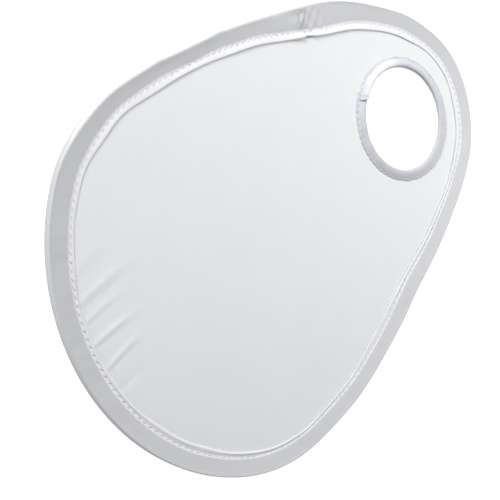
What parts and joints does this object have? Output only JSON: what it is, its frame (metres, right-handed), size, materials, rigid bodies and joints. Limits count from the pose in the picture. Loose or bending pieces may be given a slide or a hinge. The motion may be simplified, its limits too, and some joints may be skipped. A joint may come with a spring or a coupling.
{
  "type": "collapsible reflector disc",
  "caption": "Egg-shaped pop-up reflector disc: white diffuser cloth sewn into a taped spring-steel hoop, with a round elastic-bound lens opening near the narrow end.",
  "frame": {"origin": "centre of the lens opening, on the disc's mid-plane", "axes": "+Z out of the front face along the lens opening's axis, +Y along the disc's long axis towards the narrow end"},
  "size_m": [0.228, 0.32, 0.0051],
  "materials": {
    "spring_steel": "blued spring-steel band",
    "crimp_sleeve": "plain crimped steel",
    "binding_tape": "white woven polyester binding tape",
    "diffuser_cloth": "white translucent diffuser cloth, satin matte",
    "elastic_tape": "white folded elastic tape",
    "sewing_thread": "white polyester thread"
  },
  "bodies": {
    "lens_half": {"spring_hoop_lens": "spring_steel", "rim_binding_lens": "binding_tape", "rim_binding_lap": "binding_tape", "rim_lap_bartack": "sewing_thread", "rim_thread_front_lens": "sewing_thread", "rim_thread_back_lens": "sewing_thread", "fabric_panel_lens": "diffuser_cloth", "lens_opening_binding": "elastic_tape", "lens_binding_lap": "elastic_tape", "lens_lap_bartack": "sewing_thread", "lens_thread_front": "sewing_thread", "lens_thread_back": "sewing_thread"},
    "wide_half": {"spring_hoop_wide": "spring_steel", "spring_hoop_tail": "spring_steel", "hoop_ferrule": "crimp_sleeve", "rim_binding_wide": "binding_tape", "rim_thread_front_wide": "sewing_thread", "rim_thread_back_wide": "sewing_thread", "fabric_panel_wide": "diffuser_cloth"}
  },
  "joints": [
    {"name": "fold", "type": "hinge", "parent": "lens_half", "child": "wide_half", "pos_m": [0, -0.07, 0.00225], "axis": [-1, 0, 0], "range_deg": [0, 110], "stiffness_Nm_per_rad": 0.3}
  ]
}
